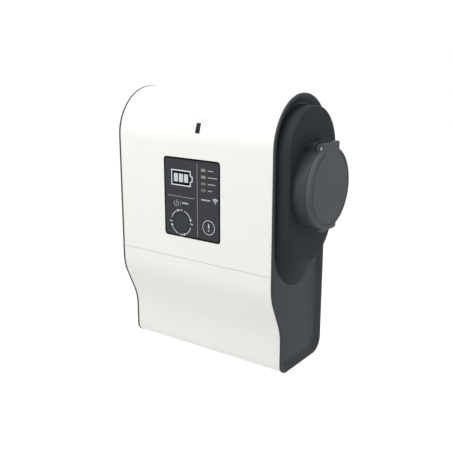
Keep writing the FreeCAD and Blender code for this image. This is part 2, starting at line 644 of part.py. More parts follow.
def socket_collar():
    """The round collar under the lid, with the hinge bracket on top of it."""
    collar = along_socket(COLLAR_RADIUS, PLINTH_TOP, COLLAR_RIM)
    collar = collar.makeFillet(0.8, edges_in_plane(collar, COLLAR_RIM))
    bracket = box((PLINTH_TOP, SOCKET_Y - 17, SOCKET_HEIGHT), (COLLAR_RIM, SOCKET_Y + 17, 286))
    ridge = [
        e
        for e in bracket.Edges
        if e.BoundBox.ZMin > 285.9 and abs(e.tangentAt(e.FirstParameter).x) > 0.99
    ]
    bracket = bracket.makeFillet(1.5, ridge)
    solid = collar.fuse(bracket).cut([along_socket(COLLAR_BORE, PLINTH_TOP - 1, COLLAR_RIM + 1)])
    solid = solid.cut(across_hinge(SEAT_RADIUS, -EAR_HALF - 2, EAR_HALF + 2))
    spans = ((-KNUCKLE_GAP + 0.3, -3.2), (3.2, KNUCKLE_GAP - 0.3))
    knuckles = [across_hinge(KNUCKLE_RADIUS, low, high) for low, high in spans]
    arms = [
        box((PIN_X - 8.6, SOCKET_Y + low, PIN_HEIGHT - 3.4), (PIN_X, SOCKET_Y + high, PIN_HEIGHT + 0.8))
        for low, high in spans
    ]
    pilots = [rod(1.5, (PLINTH_TOP, y, z), (COLLAR_RIM - 5, y, z)) for y, z in socket_screw_places()]
    solid = solid.fuse(knuckles + arms).removeSplitter()
    return solid.cut([across_hinge(PIN_RADIUS, -EAR_HALF, EAR_HALF)] + pilots)


def socket_housing():
    """The socket's cup, open at both ends: it has a flat top wall, and a flange under the plinth."""
    cup = along_socket(CUP_RADIUS, CUP_BACK, CUP_RIM)
    flange = along_socket(44, PLINTH_TOP - PLINTH_WALL - 4, PLINTH_TOP - PLINTH_WALL - 1)
    below_flat = box((CUP_FLOOR, -200, 0), (CUP_RIM + 1, 100, SOCKET_HEIGHT + CUP_FLAT))
    opening = along_socket(CUP_BORE, CUP_FLOOR, CUP_RIM + 1).common(below_flat)
    retainer_seat = along_socket(CUP_BORE, CUP_BACK - 1, CUP_FLOOR)
    cuts = [opening, retainer_seat]
    cuts += [rod(1.7, (PLINTH_TOP - 9, y, z), (PLINTH_TOP - 3, y, z)) for y, z in socket_screw_places()]
    top = SOCKET_HEIGHT + CUP_RADIUS
    cuts += [rod(2.55, (LOCK_X, SOCKET_Y, SOCKET_HEIGHT + CUP_FLAT - 1), (LOCK_X, SOCKET_Y, top + 3))]
    return cup.fuse(flange).removeSplitter().cut(cuts)


def contact_retainer():
    """The disc that closes the cup from behind and holds the contacts."""
    passages = [along_socket(POWER_OUTER, CUP_BACK, CUP_FLOOR, y, z) for y, z in POWER_CONTACTS]
    passages += [along_socket(SIGNAL_OUTER, CUP_BACK, CUP_FLOOR, y, z) for y, z in SIGNAL_CONTACTS]
    return along_socket(CUP_BORE, CUP_BACK, CUP_FLOOR).cut(passages)


def socket_gasket():
    """The flat rubber ring between the cup's flange and the plinth."""
    low, high = PLINTH_TOP - PLINTH_WALL - 1, PLINTH_TOP - PLINTH_WALL
    ring = along_socket(44, low, high).cut(along_socket(COLLAR_BORE + 0.2, low, high))
    return ring.cut([rod(1.7, (low, y, z), (high, y, z)) for y, z in socket_screw_places()])


def contact_carrier():
    """The block in the middle of the socket that holds the seven contacts."""
    below_flat = box((CUP_FLOOR, -200, 0), (CARRIER_FACE, 100, SOCKET_HEIGHT + CARRIER_FLAT))
    carrier = along_socket(CARRIER_RADIUS, CUP_FLOOR, CARRIER_FACE).common(below_flat)
    carrier = carrier.makeFillet(1.0, edges_in_plane(carrier, CARRIER_FACE))
    cuts = [along_socket(POWER_OUTER, CUP_FLOOR, CONTACT_FACE, y, z) for y, z in POWER_CONTACTS]
    cuts += [along_socket(POWER_BORE + 0.2, CONTACT_FACE, CARRIER_FACE, y, z) for y, z in POWER_CONTACTS]
    cuts += [along_socket(SIGNAL_OUTER, CUP_FLOOR, CONTACT_FACE, y, z) for y, z in SIGNAL_CONTACTS]
    cuts += [along_socket(SIGNAL_BORE + 0.2, CONTACT_FACE, CARRIER_FACE, y, z) for y, z in SIGNAL_CONTACTS]
    return carrier.cut(cuts)


def contact(outer, bore, dy, dz):
    """A contact sleeve, closed at its rear, with a tail for its lead."""
    body = along_socket(outer, 88, CONTACT_FACE, dy, dz)
    tail = along_socket(outer * 0.62, 80, 88.5, dy, dz)
    return body.fuse(tail).removeSplitter().cut(along_socket(bore, CUP_FLOOR, CONTACT_FACE, dy, dz))


def power_contacts():
    return group(contact(POWER_OUTER, POWER_BORE, y, z) for y, z in POWER_CONTACTS)


def signal_contacts():
    return group(contact(SIGNAL_OUTER, SIGNAL_BORE, y, z) for y, z in SIGNAL_CONTACTS)


def socket_screws():
    seat = PLINTH_TOP - PLINTH_WALL - 4
    return group(screw((seat, y, z), (1, 0, 0), 16) for y, z in socket_screw_places())


def lock_actuator():
    """The motor drive that locks the plug in: a case on top of the cup, with its motor behind it."""
    base = SOCKET_HEIGHT + CUP_RADIUS + 0.4
    case = box((LOCK_X - 14, SOCKET_Y - 18, base), (LOCK_X + 8, SOCKET_Y + 18, base + 29))
    case = case.makeFillet(1.5, case.Edges)
    motor = rod(7, (LOCK_X - 38, SOCKET_Y, base + 18), (LOCK_X - 13, SOCKET_Y, base + 18))
    saddle = along_socket(CUP_RADIUS, LOCK_X - 20, LOCK_X + 20)
    bore = rod(2.55, (LOCK_X, SOCKET_Y, base - 1), (LOCK_X, SOCKET_Y, base + 15 + LOCK_TRAVEL))
    return case.fuse(motor).removeSplitter().cut([saddle, bore])


def lock_bolt():
    """The steel bolt that drops into the plug's notch. It is drawn in at rest."""
    tip = SOCKET_HEIGHT + CUP_FLAT + 1.0
    return rod(2.5, (LOCK_X, SOCKET_Y, tip), (LOCK_X, SOCKET_Y, tip + LOCK_BOLT))


def socket_lid():
    """The round spring lid: a disc, the ear at the hinge, a finger lip, and a skirt inside the collar."""
    disc = along_socket(LID_RADIUS, LID_BACK, LID_FACE)
    low = PIN_HEIGHT - 16
    ear = box((LID_BACK, SOCKET_Y - EAR_HALF, low), (LID_FACE, SOCKET_Y + EAR_HALF, PIN_HEIGHT + EAR_RADIUS))
    barrel = across_hinge(EAR_RADIUS, -EAR_HALF, EAR_HALF)
    barrel = barrel.common(box((0, -200, 0), (LID_FACE, 100, 400)))
    ridge = [e for e in ear.Edges if e.BoundBox.ZMin > PIN_HEIGHT + 5 and e.BoundBox.XMin > LID_FACE - 0.1]
    ear = ear.makeFillet(2.0, ridge)
    lip_low = SOCKET_HEIGHT - LID_RADIUS - 2.0
    lip = rounded_plate(17.4, lip_low, SOCKET_HEIGHT - 36, 3.5, 0, LID_FACE - LID_BACK)
    lip.rotate(Vector(0, 0, 0), UP, 90)
    lip.translate(Vector(LID_FACE, SOCKET_Y, 0))
    skirt = along_socket(36.8, COLLAR_RIM - 2.8, LID_BACK + 0.1).cut(
        along_socket(35.0, COLLAR_RIM - 3.8, LID_BACK + 0.1)
    )
    lid = disc.fuse([ear, barrel, lip]).removeSplitter()
    outer_edge = [
        e
        for e in edges_in_plane(lid, LID_FACE)
        if e.BoundBox.ZMax < PIN_HEIGHT - 1 and e.Length > 1
    ]
    lid = lid.makeFillet(LID_EDGE, outer_edge)
    groove = along_socket(LID_GROOVE + 0.6, LID_FACE - 0.8, LID_FACE + 1)
    groove = groove.cut(along_socket(LID_GROOVE - 0.6, LID_FACE - 0.8, LID_FACE + 1))
    groove = groove.cut(box((100, SOCKET_Y - 16, SOCKET_HEIGHT + 20), (200, SOCKET_Y + 16, 400)))
    seal_seat = along_socket(LID_SEAL_OUTER, LID_BACK - 1, LID_BACK + LID_SEAL_DEPTH)
    seal_seat = seal_seat.cut(along_socket(LID_SEAL_INNER, LID_BACK - 1, LID_BACK + LID_SEAL_DEPTH))
    notch = box((100, SOCKET_Y - KNUCKLE_GAP, 274.7), (LID_FACE - 1.4, SOCKET_Y + KNUCKLE_GAP, 400))
    pin_bore = across_hinge(PIN_RADIUS + PIN_CLEARANCE, -EAR_HALF - 1, EAR_HALF + 1)
    mouths = [
        across_hinge(PIN_RADIUS + 1.2, EAR_HALF - 0.7, EAR_HALF + 1),
        across_hinge(PIN_RADIUS + 1.2, -EAR_HALF - 1, -EAR_HALF + 0.7),
    ]
    return lid.fuse(skirt).removeSplitter().cut([groove, seal_seat, notch, pin_bore] + mouths)


def lid_seal():
    """The rubber ring in the lid that meets the collar's rim."""
    start, end = COLLAR_RIM + 0.3, LID_BACK + LID_SEAL_DEPTH
    return along_socket(LID_SEAL_OUTER, start, end).cut(along_socket(LID_SEAL_INNER, start, end))


def hinge_pin():
    pin = across_hinge(PIN_RADIUS, -EAR_HALF + 0.2, EAR_HALF - 0.2)
    return pin.makeFillet(0.3, [e for e in pin.Edges if e.Closed])


def lid_spring():
    """The torsion spring's coil around the hinge pin."""
    wire_radius, coil_radius, turns, length = 0.4, 2.5, 5, 5.2
    path = Part.makeHelix(length / turns, length, coil_radius)
    ring = Part.Wire(Part.makeCircle(wire_radius, Vector(coil_radius, 0, 0), Vector(0, 1, 0)))
    coil = Part.Wire(path).makePipeShell([ring], True, True)
    coil.rotate(Vector(0, 0, 0), ACROSS, -90)
    coil.translate(Vector(PIN_X, SOCKET_Y - length / 2, PIN_HEIGHT))
    return coil


# ---- electronics ---------------------------------------------------------------------------------
def on_board(x, z, size_x, size_z, height):
    """A boxed component on the front of the main board."""
    return block((x, BOARD_FRONT - height / 2, z), (size_x, height, size_z))


def softened(shape, radius):
    return shape.makeFillet(radius, shape.Edges)


def standoff_places():
    return [(x, z) for x in STANDOFF_X for z in STANDOFF_HEIGHTS]


def main_board():
    board = box((-BOARD_HALF, BOARD_FRONT, BOARD_LOW), (BOARD_HALF - 16, BOARD_BACK, BOARD_HIGH))
    return board.cut([rod(1.7, (x, -20, z), (x, -10, z)) for x, z in standoff_places()])


def board_standoffs():
    return group(
        hexagon(6, (x, -INNER_INSET, z), (x, BOARD_BACK, z))
        .cut(rod(1.3, (x, BOARD_BACK + 8, z), (x, BOARD_BACK, z)))
        for x, z in standoff_places()
    )


def board_screws():
    return group(
        screw((x, BOARD_FRONT, z), (0, 1, 0), 8, shank=1.25, head=2.6, head_height=1.8, drive=2)
        for x, z in standoff_places()
    )


def charging_relays():
    return group(softened(on_board(x, 184, 22, 30, 26), 0.8) for x in (-62, -36, -10, 16))


def fault_current_sensor():
    """The residual current sensor: a block with a round window for the conductors."""
    case = softened(on_board(-84, 186, 16, 34, 34), 1.0)
    return case.cut(rod(9, (-95, BOARD_FRONT - 18, 186), (-73, BOARD_FRONT - 18, 186)))


def power_transformer():
    """The board's power supply transformer: a laminated core with a bobbin through it."""
    core = on_board(-74, 232, 34, 28, 22)
    bobbin = softened(on_board(-74, 232, 22, 36, 26), 1.0)
    return core.fuse(bobbin).removeSplitter()


def filter_capacitors():
    cans = [rod(6.5, (x, BOARD_FRONT, 230), (x, BOARD_FRONT - 24, 230)) for x in (-44, -28, -12)]
    return group(can.makeFillet(0.9, [e for e in can.Edges if e.Closed]) for can in cans)


def control_module():
    """The processor and radio module under its screening can."""
    return softened(on_board(8, 233, 18, 26, 3.4), 0.6)


def board_connectors():
    """Connector housings on the main board: supply, socket, signal and display."""
    supply_middle = TERMINAL_FIRST_X + 2 * TERMINAL_PITCH
    connectors = [
        on_board(supply_middle, 155.5, 5 * TERMINAL_PITCH, 15, 16.1),
        on_board(52, 226.6, 32, 23, 16.1),
        on_board(47, 246.2, 18, 7.5, 16.1),
        on_board(-35, 208, 24, 7, 7),
    ]
    return group(softened(c, 0.5) for c in connectors)


def contact_lead(radius, dy, dz, x_start):
    """A lead from its connector on the board, forwards and then across to its contact's tail."""
    y, z = SOCKET_Y + dy, SOCKET_HEIGHT + dz
    return lead([(x_start, CONNECTOR_FRONT, z), (x_start, y, z), (80, y, z)], radius, 6.0)


def socket_leads():
    starts = (52, 62, 42, 55, 45)
    return group(contact_lead(1.9, y, z, x) for (y, z), x in zip(POWER_CONTACTS, starts))


def signal_leads():
    return group(contact_lead(0.9, y, z, x) for (y, z), x in zip(SIGNAL_CONTACTS, (52, 42)))


def terminal_x(i):
    return TERMINAL_FIRST_X + i * TERMINAL_PITCH


def supply_leads():
    """Five short leads from the supply terminals up through the partition to the board."""
    top, bottom = 148.0, TERMINAL_HEIGHT + 24
    return group(rod(1.9, (terminal_x(i), -27, bottom), (terminal_x(i), -27, top)) for i in range(5))


def din_rail():
    """The top-hat rail that the terminals clip to."""
    z, wall = TERMINAL_HEIGHT, 1.0
    span = (-52.0, 70.0)
    feet = [
        box((span[0], -20, z - 17.5), (span[1], -19, z - 12.5)),
        box((span[0], -20, z + 12.5), (span[1], -19, z + 17.5)),
    ]
    sides = [
        box((span[0], -20, z - 13.5), (span[1], -12, z - 12.5)),
        box((span[0], -20, z + 12.5), (span[1], -12, z + 13.5)),
    ]
    web = box((span[0], -12 - wall, z - 13.5), (span[1], -12, z + 13.5))
    return web.fuse(feet + sides).removeSplitter()


def terminal(i):
    """A rail terminal, with its two clamp openings and screw wells."""
    x, z, half = terminal_x(i), TERMINAL_HEIGHT, TERMINAL_PITCH / 2 - 0.1
    case = box((x - half, -52, z - 22), (x + half, -20, z + 22))
    shoulder = box((x - half - 1, -53, z + 14), (x + half + 1, -40, z + 23))
    shoulder_low = box((x - half - 1, -53, z - 23), (x + half + 1, -40, z - 14))
    well = rod(2.6, (x, -53, z + 10), (x, -44, z + 10))
    well_low = rod(2.6, (x, -53, z - 10), (x, -44, z - 10))
    entry = rod(2.4, (x, -27, z + 14), (x, -27, z + 23))
    entry_low = rod(2.4, (x, -27, z - 23), (x, -27, z - 14))
    return case.cut([shoulder, shoulder_low, well, well_low, entry, entry_low])


def supply_terminals():
    return group(terminal(i) for i in range(4))


def earth_terminal():
    return terminal(4)


def ribbon_cable():
    """The flat cable from the main board to the display board."""
    points = [(-23.9, 208.0), (-46.0, 208.0), (-78.0, 216.0), (DISPLAY_BOARD_Y + 1.6, 216.0)]
    upper = [Vector(-45, y, z + 0.5) for y, z in points]
    lower = [Vector(-45, y, z - 0.5) for y, z in reversed(points)]
    section = Part.Face(Part.makePolygon(upper + lower + upper[:1]))
    return section.extrude(ACROSS * 20)


# ---- supply entry --------------------------------------------------------------------------------
def at_gland(height):
    return (GLAND_X, GLAND_Y, height)


def gland_body():
    """The threaded body of the cable gland, through the floor of the back shell."""
    flange = hexagon(37, at_gland(-4.5), at_gland(0))
    thread = rod(GLAND_THREAD, at_gland(-0.1), at_gland(10))
    spigot = rod(14.2, at_gland(-9), at_gland(-4.4))
    return flange.fuse([thread, spigot]).removeSplitter().cut(rod(11.6, at_gland(-10), at_gland(11)))


def gland_nut():
    """The cap nut that squeezes the seal onto the cable."""
    nut = rod(17.4, at_gland(-11.5), at_gland(-4.5)).common(hexagon(33, at_gland(-11.5), at_gland(-4.5)))
    return nut.cut([rod(14.2, at_gland(-9), at_gland(-4)), rod(9.5, at_gland(-12), at_gland(-8))])


def gland_seal():
    """The rubber seal inside the gland, bored for the supply cable."""
    return tube(11.6, GLAND_BORE, at_gland(-9), at_gland(5))


NODES = {
    "back_shell": back_shell,
    "left_cheek": left_cheek,
    "right_cheek": right_cheek,
    "cheek_seals": cheek_seals,
    "upper_cover": upper_cover,
    "lower_cover": lower_cover,
    "partition_shelf": partition_shelf,
    "cheek_screws": cheek_screws,
    "upper_cover_screws": upper_cover_screws,
    "lower_cover_screws": lower_cover_screws,
    "control_fascia": control_fascia,
    "fascia_seal": fascia_seal,
    "charge_bar_lenses": charge_bar_lenses,
    "status_lamp_lenses": status_lamp_lenses,
    "fault_lamp_lens": fault_lamp_lens,
    "timer_button": timer_button,
    "tactile_switch": tactile_switch,
    "switch_plunger": switch_plunger,
    "display_board": display_board,
    "display_leds": display_leds,
    "display_board_screws": display_board_screws,
    "status_window": status_window,
    "reader_board": reader_board,
    "reader_coil": reader_coil,
    "status_led": status_led,
    "socket_plinth": socket_plinth,
    "plinth_screws": plinth_screws,
    "socket_collar": socket_collar,
    "socket_housing": socket_housing,
    "contact_retainer": contact_retainer,
    "socket_gasket": socket_gasket,
    "contact_carrier": contact_carrier,
    "power_contacts": power_contacts,
    "signal_contacts": signal_contacts,
    "socket_screws": socket_screws,
    "lock_actuator": lock_actuator,
    "lock_bolt": lock_bolt,
    "socket_lid": socket_lid,
    "lid_seal": lid_seal,
    "hinge_pin": hinge_pin,
    "lid_spring": lid_spring,
    "main_board": main_board,
    "board_standoffs": board_standoffs,
    "board_screws": board_screws,
    "charging_relays": charging_relays,
    "fault_current_sensor": fault_current_sensor,
    "power_transformer": power_transformer,
    "filter_capacitors": filter_capacitors,
    "control_module": control_module,
    "board_connectors": board_connectors,
    "socket_leads": socket_leads,
    "signal_leads": signal_leads,
    "supply_leads": supply_leads,
    "din_rail": din_rail,
    "supply_terminals": supply_terminals,
    "earth_terminal": earth_terminal,
    "ribbon_cable": ribbon_cable,
    "gland_body": gland_body,
    "gland_nut": gland_nut,
    "gland_seal": gland_seal,
}


def main():
    os.makedirs("parts", exist_ok=True)
    for name, build in NODES.items():
        shape = build()
        shape.translate(UP * -ORIGIN_HEIGHT)
        shape.exportStep(f"parts/{name}.step")


main()
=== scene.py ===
"""Looks for the wall charging unit: a finish for every CAD node, and printed and moulded detail.

Everything is in metres, in the CAD frame: +X is the socket side, -Y the front, +Z up, and the
origin is the centre of the wall fixings on the wall plane. Places are worked out from the boxes of
the CAD nodes.
"""

import json
import math

import bmesh
import bpy
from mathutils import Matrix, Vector


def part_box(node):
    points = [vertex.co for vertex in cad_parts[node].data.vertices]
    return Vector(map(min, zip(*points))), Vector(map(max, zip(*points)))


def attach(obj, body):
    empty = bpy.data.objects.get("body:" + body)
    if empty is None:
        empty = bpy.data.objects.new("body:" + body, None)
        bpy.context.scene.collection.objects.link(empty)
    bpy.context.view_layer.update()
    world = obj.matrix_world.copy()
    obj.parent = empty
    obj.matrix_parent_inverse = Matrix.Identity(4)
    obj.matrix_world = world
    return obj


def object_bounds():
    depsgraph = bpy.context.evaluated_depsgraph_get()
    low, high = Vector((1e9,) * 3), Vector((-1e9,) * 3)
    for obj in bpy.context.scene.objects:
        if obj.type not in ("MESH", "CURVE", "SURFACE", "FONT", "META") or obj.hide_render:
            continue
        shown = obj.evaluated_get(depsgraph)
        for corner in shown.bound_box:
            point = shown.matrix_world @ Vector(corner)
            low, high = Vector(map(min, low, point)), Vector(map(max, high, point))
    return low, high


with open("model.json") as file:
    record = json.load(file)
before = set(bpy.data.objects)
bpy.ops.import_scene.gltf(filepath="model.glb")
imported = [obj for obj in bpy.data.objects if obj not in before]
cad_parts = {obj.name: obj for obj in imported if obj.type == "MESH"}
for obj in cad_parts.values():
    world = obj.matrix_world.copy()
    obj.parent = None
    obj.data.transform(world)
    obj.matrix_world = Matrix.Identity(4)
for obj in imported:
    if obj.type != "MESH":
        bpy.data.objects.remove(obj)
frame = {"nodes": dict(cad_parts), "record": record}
CAD_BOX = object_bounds()

MM = 0.001
NODES = frame["nodes"]

# ---- places taken from the frame -----------------------------------------------------------------
PANEL_LOW, PANEL_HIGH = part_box("control_fascia")
BUTTON_LOW, BUTTON_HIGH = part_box("timer_button")
BARS_LOW, BARS_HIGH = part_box("charge_bar_lenses")
LAMPS_LOW, LAMPS_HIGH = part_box("status_lamp_lenses")
FAULT_LOW, FAULT_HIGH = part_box("fault_lamp_lens")
COVER_LOW, COVER_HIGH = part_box("upper_cover")
FOOT_LOW, FOOT_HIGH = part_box("lower_cover")
WINDOW_LOW, WINDOW_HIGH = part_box("status_window")

FLANGE = 1.5 * MM  # the fascia's hidden flange reaches this far past its visible face
PANEL_Y = PANEL_LOW.y
PANEL_X0, PANEL_X1 = PANEL_LOW.x + FLANGE, PANEL_HIGH.x - FLANGE
PANEL_Z0, PANEL_Z1 = PANEL_LOW.z + FLANGE, PANEL_HIGH.z - FLANGE
DIVIDER_X = PANEL_X0 + 52 * MM  # the panel's upright line
DIVIDER_Z = PANEL_Z0 + 51 * MM  # its level line
BUTTON = Vector(((BUTTON_LOW.x + BUTTON_HIGH.x) / 2, 0, (BUTTON_LOW.z + BUTTON_HIGH.z) / 2))

COVER_INSET = 0.5 * MM  # the covers lie this far inside the unit's side outline
ARCH_RADIUS = (COVER_INSET - COVER_LOW.y) / 2
ARCH_CENTRE = Vector((0, -ARCH_RADIUS, COVER_HIGH.z + COVER_INSET - ARCH_RADIUS))
WINDOW_TILT = math.radians(18)  # where the status window lies on the arch, from level
WINDOW_HALF = 6.4 * MM  # from its middle to its top end, along the arch
ARC_START = WINDOW_TILT + WINDOW_HALF / ARCH_RADIUS
FOOT_FRONT = -99.3 * MM  # the front of the unit's side outline, below the S-bend

SUNK = 0.01 * MM  # a printed mark starts this far inside the surface it lies on
PANEL_PRINT = 0.06 * MM  # how far the panel's ink stands proud
COVER_PRINT = 0.05 * MM  # thickness of the ink on the cover, from where it starts

# ---- studio settings -----------------------------------------------------------------------------
SENSOR_WIDTH = 36  # mm
LENS = 54.98  # mm
CAMERA_PLACE = (0.5134, -0.7624, 0.2262)
CAMERA_BACKWARDS = (0.5650, -0.7837, 0.2580)  # the direction from what it sees to the camera
SKY_STRENGTH = 1.03
LAMPS = (  # name, place, diameter, power in watts
    ("key", (-0.40, -1.15, 0.80), 0.9, 6.2),
    ("top", (-0.15, -0.35, 0.85), 0.5, 4.6),
)
FLOOR_HALF = 60.0
FLOOR_DROP = 0.6  # below the unit, which hangs on a wall
FLOOR_GLOW = 0.06


# ---- node helpers --------------------------------------------------------------------------------
class Finish:
    """A material under construction: its shader, and short ways to add and join nodes."""

    def __init__(self, name):
        self.material = bpy.data.materials.new(name)
        self.material.use_nodes = True
        self.tree = self.material.node_tree
        self.shader = self.tree.nodes["Principled BSDF"]
        self.place = self.add("ShaderNodeTexCoord").outputs["Object"]

    def add(self, kind, **settings):
        node = self.tree.nodes.new(kind)
        for key, value in settings.items():
            setattr(node, key, value)
        return node

    def join(self, start, end):
        self.tree.links.new(start, end)

    def feed(self, name, value):
        """Joins value to the shader's input of that name."""
        self.join(value, self.shader.inputs[name])

    def noise(self, scale, detail=3.0, roughness=0.55, stretch=(1, 1, 1)):
        """Noise over the object's own space, with features about 1/scale metres across."""
        spread = self.add("ShaderNodeMapping")
        spread.inputs["Scale"].default_value = stretch
        self.join(self.place, spread.inputs["Vector"])
        node = self.add("ShaderNodeTexNoise")
        node.inputs["Scale"].default_value = scale
        node.inputs["Detail"].default_value = detail
        node.inputs["Roughness"].default_value = roughness
        self.join(spread.outputs["Vector"], node.inputs["Vector"])
        return node.outputs["Fac"]

    def remap(self, value, low, high, to_low, to_high):
        """Takes low to to_low and high to to_high, and stops there."""
        node = self.add("ShaderNodeMapRange")
        limits = {"From Min": low, "From Max": high, "To Min": to_low, "To Max": to_high}
        for key, number in limits.items():
            node.inputs[key].default_value = number
        self.join(value, node.inputs["Value"])
        return node.outputs["Result"]

    def patches(self, scale, detail, to_low=0, to_high=1, low=0.3, high=0.7):
        """Noise between two values, which it reaches at the noise levels low and high."""
        return self.remap(self.noise(scale, detail), low, high, to_low, to_high)

    def edges(self, radius):
        """1 along convex edges within radius, falling to 0 on flat faces."""
        bevel = self.add("ShaderNodeBevel", samples=4)
        bevel.inputs["Radius"].default_value = radius
        normal = self.add("ShaderNodeNewGeometry").outputs["Normal"]
        dot = self.add("ShaderNodeVectorMath", operation="DOT_PRODUCT")
        self.join(bevel.outputs["Normal"], dot.inputs[0])
        self.join(normal, dot.inputs[1])
        return self.remap(dot.outputs["Value"], 0.97, 0.80, 0.0, 1.0)

    def blend(self, amount, first, second):
        """A colour that goes from first to second. Each is a tuple or a socket."""
        mix = self.add("ShaderNodeMix", data_type="RGBA")
        self.join(amount, mix.inputs["Factor"])
        for colour, socket in ((first, mix.inputs[6]), (second, mix.inputs[7])):
            if isinstance(colour, tuple):
                socket.default_value = (*colour, 1)
            else:
                self.join(colour, socket)
        return mix.outputs[2]

    def bump(self, height, strength, distance):
        node = self.add("ShaderNodeBump")
        node.inputs["Strength"].default_value = strength
        node.inputs["Distance"].default_value = distance
        self.join(height, node.inputs["Height"])
        self.feed("Normal", node.outputs["Normal"])

    def set(self, **values):
        for key, value in values.items():
            socket = self.shader.inputs[key.replace("_", " ")]
            socket.default_value = (*value, 1) if isinstance(value, tuple) else value


def shade(colour, factor):
    return tuple(min(1.0, c * factor) for c in colour)


# ---- kinds of finish -----------------------------------------------------------------------------
def moulded(
    name, colour, roughness,
    grain=2600.0, depth=0.02, edge_wear_and_shade=1.25, wear_and_shade_radius=0.6 * MM, specular=0.3, cloud=0.04,
):
    """Moulded plastic: fine spark-eroded grain, slow cloudiness, and edges: lighter where polished
    by handling, darker as painted shade where the edge factor is below 1.

    grain and depth are the fineness and strength of the grain, the edge factor is how much lighter
    or darker an edge is, the edge radius is how far from the edge that reaches, and cloud is how
    much the colour drifts."""
    f = Finish(name)
    drift = f.patches(22, 4, low=0.35, high=0.65)
    base = f.blend(drift, shade(colour, 1 - cloud), shade(colour, 1 + cloud))
    # Edges are lighter with handling wear where the edge factor is above 1. Where it is below 1, as
    # on the panel, they are darker: painted shade.
    wear_and_shade_edges = f.edges(wear_and_shade_radius)
    rubbed_and_shaded = f.add("ShaderNodeMath", operation="MULTIPLY")
    f.join(wear_and_shade_edges, rubbed_and_shaded.inputs[0])
    f.join(f.patches(160, 4, 0.35, 1, low=0.35), rubbed_and_shaded.inputs[1])
    f.feed("Base Color", f.blend(rubbed_and_shaded.outputs["Value"], base, shade(colour, edge_wear_and_shade)))
    f.feed("Roughness", f.patches(420, 5, roughness * 0.9, roughness * 1.1))
    f.bump(f.noise(grain, 2), depth, 0.06 * MM)
    f.set(IOR=1.49, Specular_IOR_Level=specular)
    return f.material


def metal(name, colour, roughness, stretch):
    """Bare or plated metal, with drawing lines along the direction that stretch leaves long."""
    f = Finish(name)
    lines = f.noise(900.0, 4, 0.6, stretch)
    tone = f.remap(lines, 0.3, 0.7, 0, 1)
    f.feed("Base Color", f.blend(tone, shade(colour, 0.86), shade(colour, 1.06)))
    f.feed("Roughness", f.patches(70, 5, roughness * 0.8, roughness * 1.25))
    f.bump(lines, 0.08, 0.05 * MM)
    f.set(Metallic=1.0)
    return f.material


def rubber(name, colour):
    """Elastomer: matt, finely pitted, with a dusty bloom."""
    f = Finish(name)
    bloom = f.patches(60, 5, low=0.4)
    f.feed("Base Color", f.blend(bloom, colour, shade(colour, 1.7)))
    f.feed("Roughness", f.patches(500, 3, 0.68, 0.86))
    f.bump(f.noise(1800, 3), 0.12, 0.08 * MM)
    f.set(IOR=1.52, Specular_IOR_Level=0.35)
    return f.material


def circuit_board(name, colour):
    """Solder mask over copper: lighter tracks show through it."""
    f = Finish(name)
    cells = f.add("ShaderNodeTexVoronoi", distance="MANHATTAN", feature="DISTANCE_TO_EDGE")
    cells.inputs["Scale"].default_value = 190
    f.join(f.place, cells.inputs["Vector"])
    tracks = f.remap(cells.outputs["Distance"], 0.02, 0.07, 1, 0)
    f.feed("Base Color", f.blend(tracks, colour, shade(colour, 1.8)))
    f.feed("Roughness", f.patches(300, 3, 0.3, 0.42))
    f.bump(tracks, 0.3, 0.04 * MM)
    return f.material


def translucent(name, colour, roughness, glow):
    """A light lens: cloudy plastic over a dim lamp."""
    f = Finish(name)
    haze = f.patches(700, 3)
    f.feed("Base Color", f.blend(haze, shade(colour, 0.93), shade(colour, 1.05)))
    f.feed("Roughness", f.patches(260, 3, roughness * 0.85, roughness * 1.15))
    f.bump(f.noise(2400, 2), 0.03, 0.05 * MM)
    f.set(Subsurface_Weight=0.1, Emission_Color=colour, Emission_Strength=glow)
    return f.material


def lamp_lens(name):
    """The status lamps: grey above, dim yellow-green below, split by height."""
    f = Finish(name)
    height = f.add("ShaderNodeSeparateXYZ")
    f.join(f.place, height.inputs[0])
    middle = (LAMPS_LOW.z + LAMPS_HIGH.z) / 2
    upper = f.remap(height.outputs["Z"], middle - 0.5 * MM, middle + 0.5 * MM, 0, 1)
    colour = f.blend(upper, (0.062, 0.072, 0.030), (0.20, 0.206, 0.212))
    haze = f.patches(900, 3)
    f.feed("Base Color", f.blend(haze, colour, (0.115, 0.12, 0.10)))
    f.feed("Roughness", f.patches(260, 3, 0.34, 0.46))
    f.bump(f.noise(2400, 2), 0.03, 0.05 * MM)
    return f.material


def ink(name, colour):
    """Screen-printed ink: slightly uneven in cover."""
    roughness = 0.55
    f = Finish(name)
    uneven = f.patches(1500, 3)
    f.feed("Base Color", f.blend(uneven, shade(colour, 0.9), shade(colour, 1.05)))
    f.feed("Roughness", f.patches(800, 2, roughness * 0.9, roughness * 1.1))
    f.bump(f.noise(3200, 2), 0.05, 0.03 * MM)
    return f.material


